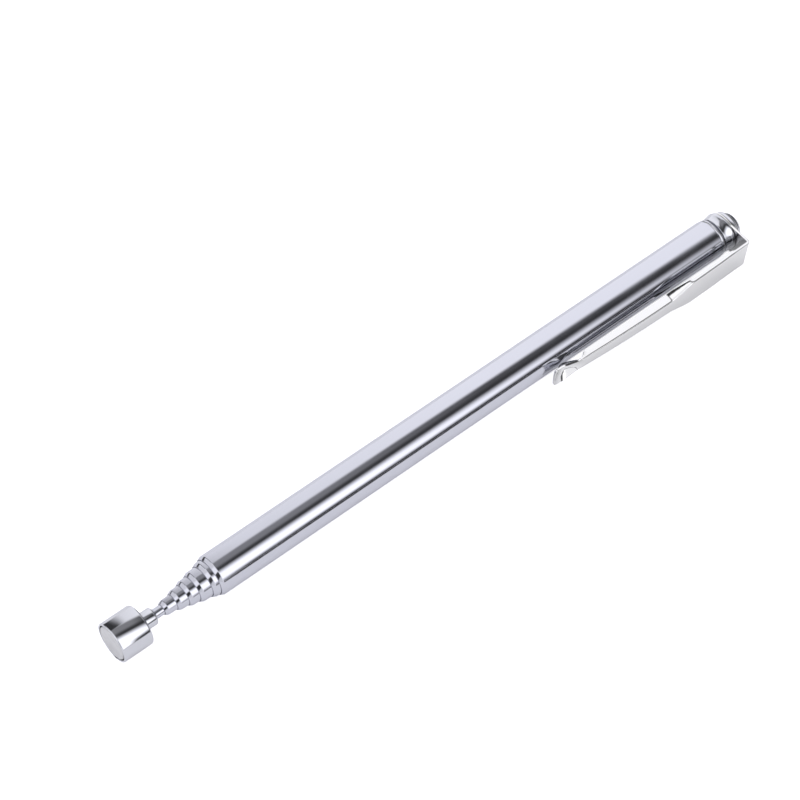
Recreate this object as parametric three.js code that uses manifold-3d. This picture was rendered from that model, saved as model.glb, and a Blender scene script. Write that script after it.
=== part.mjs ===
// Telescopic magnetic pickup tool: a pen-sized barrel holding five thin tubes and a rod,
// one inside the other, with a magnet in a steel cup on the rod's end and a pocket clip
// under the cap at the other end.
//
// Millimetres, +Z up. The tool lies on its side, closed: its axis runs along X with the
// magnet at -X, and the clip points to -Y, low enough for its corner to touch the table.
// Along the axis every place is measured from the front rim of the magnet's cup.

import * as THREE from 'three';
import { mergeVertices } from 'three/addons/utils/BufferGeometryUtils.js';
import Module from 'manifold-3d';

const wasm = await Module();
wasm.setup();

// ---- Driving dimensions -------------------------------------------------------------

const BARREL_RADIUS = 3.5;
const STAGES = 6;                                  // five tubes and the rod
const RADIUS_STEP = BARREL_RADIUS / 8;             // each stage is this much thinner
const WALL = 0.2;
const RUNNING_FIT = 0.045;                         // radial gap where one piece slides in another

const BARREL_MOUTH = 18.6;
const BARREL_REAR = 124.9;
const TUBE_MOUTHS = [17.35, 15.3, 13.5, 11.6, 9.5];
const PLUG_FACE = 113.5;                           // what the closed tubes stop against
const STOP_GAP = 0.3;
const TUBE_REAR = PLUG_FACE - STOP_GAP;

const ROLL_LENGTH = 0.65;                          // coned-in mouth of the barrel and tubes
const ROLL_CORNER = 0.15;                          // rounded corner between the cone and the outside
const ROLL_NORMAL = 115;                           // direction that the cone faces, in degrees
const LIP_EDGE = 0.1;
const LIP_DEPTH = 0.25;
const FLARE_LENGTH = 0.8;                          // widened rear end that keeps the liners on
const FLARE_RAMP = 0.3;
const LINER_LENGTH = 12;
const LINER_END_PLAY = 0.1;
const LINER_SEAT_DEPTH = 0.08;                     // recess that carries the liners along
const LINER_HALF_ANGLE = THREE.MathUtils.degToRad(84);

const CUP_RADIUS = 3.5;
const CUP_LENGTH = 5.5;
const CUP_BORE_RADIUS = 3.1;
const CUP_BACK = 0.8;
const CUP_FRONT_ROUND = 0.2;
const CUP_REAR_ROUND = 0.35;
const DISC_RADIUS = 2.92;
const DISC_FRONT = 0;                              // flush with the cup's rim
const DISC_REAR = 3.6;
const DISC_CHAMFER = 0.15;
const NECK_RADIUS = 1.5;
const NECK_REAR = 7.95;
const NECK_SPIGOT_RADIUS = 1.2;
const NECK_RIVET_RADIUS = 1.75;
const ROD_SOCKET_FLOOR = 6.1;
const FIXED_GAP = 0.05;                            // between pieces pressed or riveted together

const BEAD_RADIUS = 3.42;
const BEAD_REAR = 125.7;
const GROOVE_WIDTH = 0.15;
const GROOVE_RADIUS = 2.75;
const COLLAR_REAR = 127.85;
const COLLAR_FRONT_RADIUS = 3.3;
const COLLAR_RADIUS = 3.5;
const POST_RADIUS = 1.4;
const POST_REAR = 129.9;
const BUTTON_FRONT = 128.5;
const BUTTON_RADIUS = 3.05;
const DOME_FRONT = 129.45;
const DOME_RADIUS = 2.6;
const BUTTON_REAR = 131.0;

const CLIP_SHEET = 0.45;
const CLIP_TURN = THREE.MathUtils.degToRad(5);     // how far the clip points below the level
const CLIP_RING_RADIUS = 3.3;
const CLIP_HALF_WIDTH = 2.95;
const CLIP_PLATE_FRONT = 127.95;
const CLIP_PLATE_REAR = CLIP_PLATE_FRONT + CLIP_SHEET;
const CLIP_SPLIT = 5.0;                            // height of the line where the arm starts to flex
const CLIP_SPLIT_GAP = 0.3;
const CLIP_BEND_RADIUS = 0.7;
// Outer face of the arm, from the shoulder's bend to the free end of the lip: [along, height].
const CLIP_OUTER_FACE = [
  [127.7, 6.1], [120.0, 6.3], [111.7, 6.42], [99.8, 6.2], [92.6, 5.9], [90.3, 5.2],
  [88.1, 4.15], [86.9, 4.45], [85.5, 5.3],
];
// Half width of the arm seen from outside: [along, half width].
const CLIP_PLAN = [
  [CLIP_PLATE_REAR, 2.95], [114.8, 2.95], [110.4, 1.6], [99.6, 1.45], [91.4, 1.3], [90.2, 1.3],
  [88.6, 1.75], [87.2, 2.1], [85.9, 2.1], [85.4, 1.8],
];
// Free edge of the folded sides, as a depth below the outer face: [along, depth].
const CLIP_SIDE_DEPTH = [
  [124.9, 0.2], [124.4, 0.8], [115.2, 0.8], [111.0, 1.75], [99.8, 1.6], [92.2, 1.45], [91.2, 0.3],
];

const TURNED_SEGMENTS = 32;
const TUBE_SEGMENTS = 24;
const LINER_SEGMENTS = 12;

// ---- Materials ------------------------------------------------------------------------

const chrome = new THREE.MeshStandardMaterial({ color: '#d9dae2', metalness: 1, roughness: 0.12 });
const steelSpring = new THREE.MeshStandardMaterial({ color: '#cfd0d4', metalness: 1, roughness: 0.18 });
const nickel = new THREE.MeshStandardMaterial({ color: '#d6d6d9', metalness: 1, roughness: 0.38 });
const brass = new THREE.MeshStandardMaterial({ color: '#c8a052', metalness: 1, roughness: 0.3 });

// ---- Geometry helpers -------------------------------------------------------------------

// A solid of revolution about the X axis from [along, radius] points.
function turned(profile, segments = TURNED_SEGMENTS) {
  const points = profile.map(([along, radius]) => new THREE.Vector2(radius, along));
  const geometry = new THREE.LatheGeometry(points, segments);
  geometry.rotateZ(-Math.PI / 2);
  return geometry;
}

// The same for a ring: the profile's last point joins its first.
function turnedRing(profile, segments) {
  return turned([...profile, profile[0]], segments);
}

// Points of a quarter ellipse round a corner, from angle `from` to angle `to` in degrees.
function corner(along, radius, alongSize, radiusSize, from, to, steps = 4) {
  const points = [];
  for (let i = 0; i <= steps; i += 1) {
    const angle = THREE.MathUtils.degToRad(from + (to - from) * (i / steps));
    points.push([along + alongSize * Math.cos(angle), radius + radiusSize * Math.sin(angle)]);
  }
  return points;
}

function shapeOf(points) {
  return new THREE.Shape(points.map(([x, y]) => new THREE.Vector2(x, y)));
}

function slab(shape, depth, curveSegments = 16) {
  return new THREE.ExtrudeGeometry(shape, { depth, bevelEnabled: false, curveSegments });
}

function toSolid(geometry) {
  const bare = geometry.clone();
  bare.deleteAttribute('normal');
  bare.deleteAttribute('uv');
  const merged = mergeVertices(bare, 1e-4);
  const vertProperties = new Float32Array(merged.attributes.position.array);
  const triVerts = new Uint32Array(merged.index.array);
  return new wasm.Manifold(new wasm.Mesh({ numProp: 3, vertProperties, triVerts }));
}

function toGeometry(solid) {
  const mesh = solid.getMesh();
  const geometry = new THREE.BufferGeometry();
  geometry.setAttribute('position', new THREE.BufferAttribute(mesh.vertProperties, 3));
  geometry.setIndex(new THREE.BufferAttribute(mesh.triVerts, 1));
  geometry.computeVertexNormals();
  return geometry;
}

function part(name, geometry, material) {
  const mesh = new THREE.Mesh(geometry, material.clone());
  mesh.name = name;
  return mesh;
}

// ---- Barrel, tubes and rod ---------------------------------------------------------------

// Outer radius of a stage: 0 is the barrel, 1 to 5 the tubes, 6 the rod.
function stageRadius(stage) {
  return BARREL_RADIUS - RADIUS_STEP * stage;
}

// Radius of the opening that a stage's rolled mouth leaves for the next stage.
function lipRadius(stage) {
  return stageRadius(stage + 1) + RUNNING_FIT;
}

function rolledMouth(stage, mouth) {
  const rollRear = mouth + ROLL_LENGTH;
  const cornerRadius = stageRadius(stage) - ROLL_CORNER;
  return [
    [mouth, lipRadius(stage)],
    [mouth, lipRadius(stage) + LIP_EDGE],
    ...corner(rollRear, cornerRadius, ROLL_CORNER, ROLL_CORNER, ROLL_NORMAL, 90, 2),
  ];
}

function boreToMouth(stage, mouth) {
  return [
    [mouth + ROLL_LENGTH, stageRadius(stage) - WALL],
    [mouth + LIP_DEPTH, lipRadius(stage)],
  ];
}

function makeBarrel() {
  const profile = [
    ...rolledMouth(0, BARREL_MOUTH),
    [BARREL_REAR, BARREL_RADIUS],
    [BARREL_REAR, BARREL_RADIUS - WALL],
    ...boreToMouth(0, BARREL_MOUTH),
  ];
  return part('barrel', turnedRing(profile, TURNED_SEGMENTS), chrome);
}

// The shallow seat for the liners and the wider end behind it.
function linerSeat(stage) {
  const radius = stageRadius(stage);
  const flareRadius = stageRadius(stage - 1) - WALL - RUNNING_FIT;
  const flareFront = TUBE_REAR - FLARE_LENGTH;
  const seatRear = flareFront - FLARE_RAMP;
  const seatFront = seatRear - LINER_LENGTH - 2 * LINER_END_PLAY;
  return [
    [seatFront, radius],
    [seatFront, radius - LINER_SEAT_DEPTH],
    [seatRear, radius - LINER_SEAT_DEPTH],
    [flareFront, flareRadius],
    [TUBE_REAR, flareRadius],
  ];
}

function makeTube(stage) {
  const mouth = TUBE_MOUTHS[stage - 1];
  const flareBore = stageRadius(stage - 1) - 2 * WALL - RUNNING_FIT;
  const profile = [
    ...rolledMouth(stage, mouth),
    ...linerSeat(stage),
    [TUBE_REAR, flareBore],
    [TUBE_REAR - FLARE_LENGTH, flareBore],
    [TUBE_REAR - FLARE_LENGTH - FLARE_RAMP, stageRadius(stage) - WALL],
    ...boreToMouth(stage, mouth),
  ];
  return part(`tube_${stage}`, turnedRing(profile, TUBE_SEGMENTS), chrome);
}

function makeRod() {
  const front = ROD_SOCKET_FLOOR + FIXED_GAP;
  const profile = [
    [front, 0],
    [front, stageRadius(STAGES)],
    ...linerSeat(STAGES),
    [TUBE_REAR, 0],
  ];
  return part('rod', turned(profile, TUBE_SEGMENTS), chrome);
}

// Two thin brass half shells round the rear of a stage, which give its sliding friction.
function makeLiners(stage) {
  const inner = stageRadius(stage) - LINER_SEAT_DEPTH + RUNNING_FIT;
  const outer = stageRadius(stage - 1) - WALL - RUNNING_FIT;
  const rear = TUBE_REAR - FLARE_LENGTH - FLARE_RAMP - LINER_END_PLAY;
  return ['upper', 'lower'].map((side, i) => {
    const middle = Math.PI / 2 + Math.PI * i;
    const shape = new THREE.Shape();
    shape.absarc(0, 0, outer, middle - LINER_HALF_ANGLE, middle + LINER_HALF_ANGLE, false);
    shape.absarc(0, 0, inner, middle + LINER_HALF_ANGLE, middle - LINER_HALF_ANGLE, true);
    shape.closePath();
    const mesh = part(`liner_${stage}_${side}`, slab(shape, LINER_LENGTH, LINER_SEGMENTS), brass);
    mesh.rotation.set(Math.PI / 2, Math.PI / 2, 0);
    mesh.position.x = rear - LINER_LENGTH;
    return mesh;
  });
}

// ---- Magnet end ----------------------------------------------------------------------------

function makeMagnetCup() {
  const hole = NECK_SPIGOT_RADIUS + FIXED_GAP;
  const rearRound = corner(
    CUP_LENGTH - CUP_REAR_ROUND, CUP_RADIUS - CUP_REAR_ROUND, CUP_REAR_ROUND, CUP_REAR_ROUND, 90, 0);
  const frontRound = corner(
    CUP_FRONT_ROUND, CUP_RADIUS - CUP_FRONT_ROUND, CUP_FRONT_ROUND, CUP_FRONT_ROUND, 180, 90, 2);
  const profile = [
    [0, CUP_BORE_RADIUS],
    ...frontRound,
    ...rearRound,
    [CUP_LENGTH, hole],
    [CUP_LENGTH - CUP_BACK, hole],
    [CUP_LENGTH - CUP_BACK, CUP_BORE_RADIUS],
  ];
  return part('magnet_cup', turnedRing(profile), chrome);
}

function makeMagnetDisc() {
  const profile = [
    [DISC_FRONT, 0],
    [DISC_FRONT, DISC_RADIUS - DISC_CHAMFER],
    [DISC_FRONT + DISC_CHAMFER, DISC_RADIUS],
    [DISC_REAR, DISC_RADIUS],
    [DISC_REAR, 0],
  ];
  return part('magnet_disc', turned(profile), nickel);
}

// Turned neck riveted through the cup's back, with a socket that holds the rod.
function makeMagnetNeck() {
  const shoulder = CUP_LENGTH + FIXED_GAP;
  const rivetRear = CUP_LENGTH - CUP_BACK - FIXED_GAP;
  const rivetFront = DISC_REAR + STOP_GAP;
  const socket = stageRadius(STAGES) + FIXED_GAP;
  const profile = [
    [rivetFront, 0],
    [rivetFront, NECK_RIVET_RADIUS],
    [rivetRear, NECK_RIVET_RADIUS],
    [rivetRear, NECK_SPIGOT_RADIUS],
    [shoulder, NECK_SPIGOT_RADIUS],
    [shoulder, NECK_RADIUS],
    ...corner(NECK_REAR - 0.4, NECK_RADIUS - 0.4, 0.4, 0.4, 90, 0, 3),
    [NECK_REAR, socket],
    [ROD_SOCKET_FLOOR, socket],
    [ROD_SOCKET_FLOOR, 0],
  ];
  return part('magnet_neck', turned(profile), chrome);
}

// ---- Cap end -------------------------------------------------------------------------------

// Turned plug pressed into the barrel: bead, groove, flared collar and the post of the button.
function makeEndPlug() {
  const plugRadius = BARREL_RADIUS - WALL - RUNNING_FIT;
  const beadFront = BARREL_REAR + FIXED_GAP;
  const beadMiddle = (beadFront + BEAD_REAR) / 2;
  const beadHalf = (BEAD_REAR - beadFront) / 2;
  const profile = [
    [PLUG_FACE, 0],
    [PLUG_FACE, plugRadius],
    [beadFront, plugRadius],
    ...corner(beadMiddle, BEAD_RADIUS - 0.3, beadHalf, 0.3, 180, 0, 6),
    [BEAD_REAR, GROOVE_RADIUS],
    [BEAD_REAR + GROOVE_WIDTH, GROOVE_RADIUS],
    [BEAD_REAR + GROOVE_WIDTH + 0.05, COLLAR_FRONT_RADIUS],
    [COLLAR_REAR - 0.45, COLLAR_RADIUS - 0.05],
    [COLLAR_REAR - 0.2, COLLAR_RADIUS],
    [COLLAR_REAR, COLLAR_RADIUS - 0.15],
    [COLLAR_REAR, POST_RADIUS],
    [POST_REAR, POST_RADIUS],
    [POST_REAR, 0],
  ];
  return part('end_plug', turned(profile), chrome);
}

// Stepped, domed button that holds the clip down on the plug's collar.
function makeEndButton() {
  const bore = POST_RADIUS + FIXED_GAP;
  const profile = [
    [BUTTON_FRONT, bore],
    [BUTTON_FRONT, BUTTON_RADIUS],
    ...corner(DOME_FRONT - 0.45, BUTTON_RADIUS - 0.3, 0.45, 0.3, 90, 0, 3),
    [DOME_FRONT, DOME_RADIUS],
    ...corner(DOME_FRONT, 0, BUTTON_REAR - DOME_FRONT, DOME_RADIUS, 75, 0, 5),
    [POST_REAR + FIXED_GAP, 0],
    [POST_REAR + FIXED_GAP, bore],
  ];
  return part('end_button', turnedRing(profile), chrome);
}

// ---- Pocket clip -----------------------------------------------------------------------------
// The clip is drawn in its own frame: X along the tool, Y across the clip, Z outwards from the
// tool's axis.

// Ring round the post and the flat shoulder that stands out from it.
function makeClipBase() {
  const sideHeight = Math.sqrt(CLIP_RING_RADIUS ** 2 - CLIP_HALF_WIDTH ** 2);
  const start = Math.atan2(sideHeight, CLIP_HALF_WIDTH);
  const shape = new THREE.Shape();
  shape.moveTo(CLIP_HALF_WIDTH, CLIP_SPLIT - CLIP_SPLIT_GAP);
  shape.lineTo(-CLIP_HALF_WIDTH, CLIP_SPLIT - CLIP_SPLIT_GAP);
  shape.absarc(0, 0, CLIP_RING_RADIUS, Math.PI - start, 2 * Math.PI + start, false);
  shape.closePath();
  const hole = new THREE.Path();
  hole.absarc(0, 0, POST_RADIUS + FIXED_GAP, 0, 2 * Math.PI, true);
  shape.holes.push(hole);
  const geometry = slab(shape, CLIP_SHEET);
  geometry.rotateX(Math.PI / 2);
  geometry.rotateZ(Math.PI / 2);
  geometry.translate(CLIP_PLATE_FRONT, 0, 0);
  return part('clip_base', geometry, steelSpring);
}

// Value at `along` on a list of [along, value] points that run from the shoulder to the lip.
function valueAt(table, along) {
  for (let i = 1; i < table.length; i += 1) {
    const [x0, v0] = table[i - 1];
    const [x1, v1] = table[i];
    if (along >= x1) return v0 + ((v1 - v0) * (along - x0)) / (x1 - x0);
  }
  return table[table.length - 1][1];
}

// A slab across the clip's width whose side view is `outline`, a list of [along, height].
function acrossClip(outline, halfWidth) {
  const geometry = slab(shapeOf(outline), 2 * halfWidth);
  geometry.rotateX(Math.PI / 2);
  geometry.translate(0, halfWidth, 0);
  return toSolid(geometry);
}

// A block through the clip's height whose outline seen from outside is `plan`, inset at the sides.
function planBlock(inset, height) {
  const near = CLIP_PLAN.map(([along, half]) => [along, half - inset]);
  const far = near.map(([along, half]) => [along, -half]).reverse();
  return toSolid(slab(shapeOf([...near, ...far]), height));
}

function makeClipArm() {
  const outerCurve = new THREE.SplineCurve(CLIP_OUTER_FACE.map(([x, z]) => new THREE.Vector2(x, z)));
  const outer = outerCurve.getPoints(32);
  const inner = outer.map((point, i) => {
    const ahead = outer[Math.min(i + 1, outer.length - 1)];
    const behind = outer[Math.max(i - 1, 0)];
    const along = ahead.clone().sub(behind).normalize();
    return new THREE.Vector2(point.x - along.y * CLIP_SHEET, point.y + along.x * CLIP_SHEET);
  });

  // Side view of the strip: down the shoulder, round the bend and along to the lip.
  const top = outer[0].y;
  const bendX = CLIP_PLATE_REAR - CLIP_BEND_RADIUS;
  const bendZ = top - CLIP_BEND_RADIUS;
  const innerRound = CLIP_BEND_RADIUS - CLIP_SHEET;
  const outerBend = corner(bendX, bendZ, CLIP_BEND_RADIUS, CLIP_BEND_RADIUS, 0, 90, 4);
  const innerBend = corner(bendX, bendZ, innerRound, innerRound, 90, 0, 4);
  const stripOutline = [
    [CLIP_PLATE_FRONT, CLIP_SPLIT],
    [CLIP_PLATE_REAR, CLIP_SPLIT],
    ...outerBend,
    ...outer.slice(1).map((p) => [p.x, p.y]),
    ...inner.slice(1).reverse().map((p) => [p.x, p.y]),
    ...innerBend,
  ];
  const strip = acrossClip(stripOutline, CLIP_HALF_WIDTH);

  // Side view of the folded sides: from the outer face down to their free edge.
  const folded = outer.filter(({ x }) => x < CLIP_SIDE_DEPTH[0][0] && x > CLIP_SIDE_DEPTH.at(-1)[0]);
  const sideOutline = [
    ...folded.map(({ x, y }) => [x, y]),
    ...folded.map(({ x, y }) => [x, y - valueAt(CLIP_SIDE_DEPTH, x)]).reverse(),
  ];
  const height = 8;
  const sideWalls = planBlock(0, height).subtract(planBlock(CLIP_SHEET, height));
  const sides = acrossClip(sideOutline, CLIP_HALF_WIDTH).intersect(sideWalls);

  const arm = strip.intersect(planBlock(0, height)).add(sides);
  return part('clip_arm', toGeometry(arm), steelSpring);
}

function makeClip() {
  const clip = new THREE.Group();
  clip.add(makeClipBase(), makeClipArm());
  clip.rotation.x = Math.PI / 2 + CLIP_TURN;
  return clip;
}

// ---- Assembly ----------------------------------------------------------------------------------

function makeTool() {
  const tool = new THREE.Group();
  tool.add(makeBarrel());
  for (let stage = 1; stage < STAGES; stage += 1) {
    tool.add(makeTube(stage));
  }
  tool.add(makeRod());
  for (let stage = 1; stage <= STAGES; stage += 1) {
    tool.add(...makeLiners(stage));
  }
  tool.add(makeMagnetNeck(), makeMagnetCup(), makeMagnetDisc());
  tool.add(makeEndPlug(), makeEndButton(), makeClip());
  return tool;
}

// The origin is the middle of the underside of the whole tool's box.
const pickupTool = makeTool();
const box = new THREE.Box3().setFromObject(pickupTool, true);
const middle = box.getCenter(new THREE.Vector3());
pickupTool.position.set(-middle.x, -middle.y, -box.min.z);

export default pickupTool;
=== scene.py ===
"""Looks of a telescopic magnetic pickup tool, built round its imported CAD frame.

The tool is a pen-sized plated barrel with five thin tubes and a rod inside it, a disc magnet in a
drawn cup, a turned plug and domed button at the other end, and a pressed pocket clip between them.
"""

import math

import bmesh
import bpy
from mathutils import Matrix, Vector


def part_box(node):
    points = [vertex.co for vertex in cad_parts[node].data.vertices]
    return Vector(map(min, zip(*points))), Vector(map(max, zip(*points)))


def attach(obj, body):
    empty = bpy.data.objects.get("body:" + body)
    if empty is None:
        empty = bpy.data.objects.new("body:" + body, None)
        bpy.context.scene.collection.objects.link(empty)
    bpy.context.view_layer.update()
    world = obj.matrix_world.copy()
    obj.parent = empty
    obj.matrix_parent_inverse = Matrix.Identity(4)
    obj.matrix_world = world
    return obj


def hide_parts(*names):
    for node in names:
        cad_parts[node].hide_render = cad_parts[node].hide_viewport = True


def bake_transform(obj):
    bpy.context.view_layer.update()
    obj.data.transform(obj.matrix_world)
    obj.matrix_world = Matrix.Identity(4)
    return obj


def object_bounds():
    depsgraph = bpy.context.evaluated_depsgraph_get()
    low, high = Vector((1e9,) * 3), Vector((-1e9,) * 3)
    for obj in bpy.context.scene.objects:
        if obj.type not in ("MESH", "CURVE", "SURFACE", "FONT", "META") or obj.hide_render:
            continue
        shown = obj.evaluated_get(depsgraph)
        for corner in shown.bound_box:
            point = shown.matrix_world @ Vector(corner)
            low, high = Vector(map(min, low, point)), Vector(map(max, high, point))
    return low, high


bl_info = {
    "name": "Telescopic Pickup Tool",
    "version": (1, 0, 0),
    "blender": (4, 5, 0),
    "location": "View3D > Sidebar > Pickup Tool",
    "description": "Models a pen-sized telescopic magnetic pickup tool and its studio",
    "category": "Add Mesh",
}

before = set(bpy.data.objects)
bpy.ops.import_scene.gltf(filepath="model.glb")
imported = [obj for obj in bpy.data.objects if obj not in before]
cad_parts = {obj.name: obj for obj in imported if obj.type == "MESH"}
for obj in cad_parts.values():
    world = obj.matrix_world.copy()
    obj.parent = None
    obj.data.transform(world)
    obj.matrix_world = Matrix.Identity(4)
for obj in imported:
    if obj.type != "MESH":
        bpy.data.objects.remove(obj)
cad_low, cad_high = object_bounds()

MM = 0.001
STAGES = 6
BARREL_LOW, BARREL_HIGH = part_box("barrel")
AXIS_Y = (BARREL_LOW.y + BARREL_HIGH.y) / 2
AXIS_Z = (BARREL_LOW.z + BARREL_HIGH.z) / 2
BARREL_RADIUS = (BARREL_HIGH.z - BARREL_LOW.z) / 2
CUP_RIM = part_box("magnet_cup")[0].x
STAGE_NODES = ["barrel"] + [f"tube_{k}" for k in range(1, STAGES)] + ["rod"]

# Steps round the widest turned pieces, the neck and the rod.
WIDE_STEPS, NECK_STEPS, ROD_STEPS = 128, 96, 64
# Room at each end of a liner in its seat, and the length over which a tube's end is flared.
SEAT_PLAY = 0.1 * MM
FLARE_RAMP = 0.3 * MM


def ends(node):
    """Where a CAD node starts and ends along the tool's axis."""
    low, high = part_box(node)
    return low.x, high.x


def half_height(node):
    """Half of a CAD node's height, which is its largest radius if it is round."""
    low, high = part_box(node)
    return (high.z - low.z) / 2


# ---------------------------------------------------------------------------------------------
# Settings
# ---------------------------------------------------------------------------------------------


class TubeSettings(bpy.types.PropertyGroup):
    """The barrel, the five tubes and the rod."""

    wall: bpy.props.FloatProperty(
        name="Wall", description="Thickness of the tubes", default=0.2 * MM, unit="LENGTH"
    )
    fit: bpy.props.FloatProperty(
        name="Running fit", description="Radial gap between sliding pieces",
        default=0.045 * MM, unit="LENGTH",
    )
    cone_length: bpy.props.FloatProperty(
        name="Coned mouth", description="Length over which a mouth is coned in",
        default=0.65 * MM, unit="LENGTH",
    )
    seat: bpy.props.FloatProperty(
        name="Liner seat", description="Depth of the recess under the friction liners",
        default=0.08 * MM, unit="LENGTH",
    )
    segments: bpy.props.IntProperty(
        name="Segments", description="Steps round each inner tube", default=96, min=24
    )
    colour: bpy.props.StringProperty(
        name="Plating", description="Colour of the chrome plate, sRGB hex", default="#CBCCD4"
    )


class EndSettings(bpy.types.PropertyGroup):
    """The turned pieces at both ends."""

    round_rim: bpy.props.FloatProperty(
        name="Rim round", description="Radius of the cup's front rim", default=0.18 * MM,
        unit="LENGTH",
    )
    round_rear: bpy.props.FloatProperty(
        name="Drawn round", description="Radius where the cup was drawn over its punch",
        default=0.35 * MM, unit="LENGTH",
    )
    magnet_colour: bpy.props.StringProperty(
        name="Magnet plate", description="Colour of the nickel plate, sRGB hex", default="#D5D5D6"
    )
    turned_colour: bpy.props.StringProperty(
        name="Turned pieces", description="Colour of their plating, sRGB hex", default="#CFD0D5"
    )
    brass_colour: bpy.props.StringProperty(
        name="Liners", description="Colour of the spring brass, sRGB hex", default="#C9A353"
    )


class ClipSettings(bpy.types.PropertyGroup):
    """The pocket clip."""

    sheet: bpy.props.FloatProperty(
        name="Sheet", description="Thickness of the strip", default=0.45 * MM, unit="LENGTH"
    )
    turn: bpy.props.FloatProperty(
        name="Turn", description="How far the clip points below the level",
        default=math.radians(5), subtype="ANGLE",
    )
    colour: bpy.props.StringProperty(
        name="Plating", description="Colour of the bright nickel plate, sRGB hex",
        default="#E4E4E3",
    )


class StudioSettings(bpy.types.PropertyGroup):
    """The camera."""

    azimuth: bpy.props.FloatProperty(
        name="Azimuth", description="Way the camera looks, 0 along +Y",
        default=math.radians(-40.13), subtype="ANGLE",
    )
    elevation: bpy.props.FloatProperty(
        name="Elevation", description="Camera's height above the horizon",
        default=math.radians(52.35), subtype="ANGLE",
    )
    distance: bpy.props.FloatProperty(
        name="Distance", description="From the camera to the point it looks at",
        default=0.44107, unit="LENGTH",
    )
    lens: bpy.props.FloatProperty(
        name="Lens", description="Focal length in millimetres", default=123.05
    )


# ---------------------------------------------------------------------------------------------
# Modelling by hand
# ---------------------------------------------------------------------------------------------


def deselect():
    """Nothing stays selected, so an operator acts only on what is made next."""
    if bpy.context.object and bpy.context.object.mode != "OBJECT":
        bpy.ops.object.mode_set(mode="OBJECT")
    bpy.ops.object.select_all(action="DESELECT")


def activate(piece):
    """Makes a piece the only selected and active object."""
    deselect()
    piece.select_set(True)
    bpy.context.view_layer.objects.active = piece
    return piece


def draw_line(name, points):
    """A line of edges through the points: a plane merged to one vertex, then extruded along."""
    deselect()
    bpy.ops.mesh.primitive_plane_add(size=MM, location=points[0])
    piece = bpy.context.object
    piece.name = name
    piece.data.name = name
    bpy.ops.object.mode_set(mode="EDIT")
    bpy.ops.mesh.select_mode(type="VERT")
    bpy.ops.mesh.select_all(action="SELECT")
    bpy.ops.mesh.merge(type="CENTER")
    for before, after in zip(points, points[1:]):
        step = Vector(after) - Vector(before)
        bpy.ops.mesh.extrude_region_move(TRANSFORM_OT_translate={"value": step})
    return piece


def settle(piece, body, replaced, angle=35):
    """Finishes a piece: merged seams, outward faces, its place in its mesh, and its CAD nodes."""
    bpy.ops.object.mode_set(mode="EDIT")
    bpy.ops.mesh.select_all(action="SELECT")
    bpy.ops.mesh.remove_doubles(threshold=1e-6)
    bpy.ops.mesh.normals_make_consistent(inside=False)
    bpy.ops.object.mode_set(mode="OBJECT")
    bpy.ops.object.transform_apply(location=True, rotation=True, scale=True)
    bpy.ops.object.shade_smooth_by_angle(angle=math.radians(angle))
    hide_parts(*replaced)
    if body:
        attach(piece, body)
    return piece


def turn(name, profile, segments):
    """A turned piece: its half section, a list of (along, radius), spun round the tool's axis."""
    points = [(x, AXIS_Y, AXIS_Z + radius) for x, radius in profile]
    piece = draw_line(name, points)
    bpy.ops.mesh.select_all(action="SELECT")
    bpy.ops.mesh.spin(
        steps=segments, angle=2 * math.pi, center=(0, AXIS_Y, AXIS_Z), axis=(1, 0, 0)
    )
    return piece


def arc(x, radius, along, up, start, end, steps=8):
    """Points of a quarter or half ellipse about (x, radius), angles in degrees from +X."""
    angles = [math.radians(start + (end - start) * i / steps) for i in range(steps + 1)]
    return [(x + along * math.cos(a), radius + up * math.sin(a)) for a in angles]


# ---------------------------------------------------------------------------------------------
# Materials
# ---------------------------------------------------------------------------------------------


def linear(hex_colour):
    """sRGB hex to the linear RGBA that shaders work in."""
    channels = [int(hex_colour[i : i + 2], 16) / 255 for i in (1, 3, 5)]
    return [c / 12.92 if c <= 0.04045 else ((c + 0.055) / 1.055) ** 2.4 for c in channels] + [1.0]


def add_node(tree, kind, settings=None, **inputs):
    """Adds a node, sets its properties, and sets or links its inputs by name."""
    node = tree.nodes.new(kind)
    for key, value in (settings or {}).items():
        setattr(node, key, value)
    for key, value in inputs.items():
        label = key.replace("_", " ")
        socket = node.inputs[int(key[1:])] if key[1:].isdigit() else node.inputs[label]
        if isinstance(value, bpy.types.NodeSocket):
            tree.links.new(value, socket)
        else:
            socket.default_value = value
    return node


def new_material(name):
    """An empty node tree with only its output, and the tree's coordinates node."""
    material = bpy.data.materials.new(name)
    material.use_nodes = True
    material.node_tree.nodes.clear()
    tree = material.node_tree
    output = add_node(tree, "ShaderNodeOutputMaterial")
    coordinates = add_node(tree, "ShaderNodeTexCoord")
    return material, tree, output, coordinates.outputs["Object"]


def shade_metal(tree, output, colour, **inputs):
    """Ends a material's node tree in a metal shader."""
    shader = add_node(
        tree, "ShaderNodeBsdfPrincipled", Base_Color=colour, Metallic=1.0, **inputs
    )
    tree.links.new(shader.outputs[0], output.inputs["Surface"])


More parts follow.
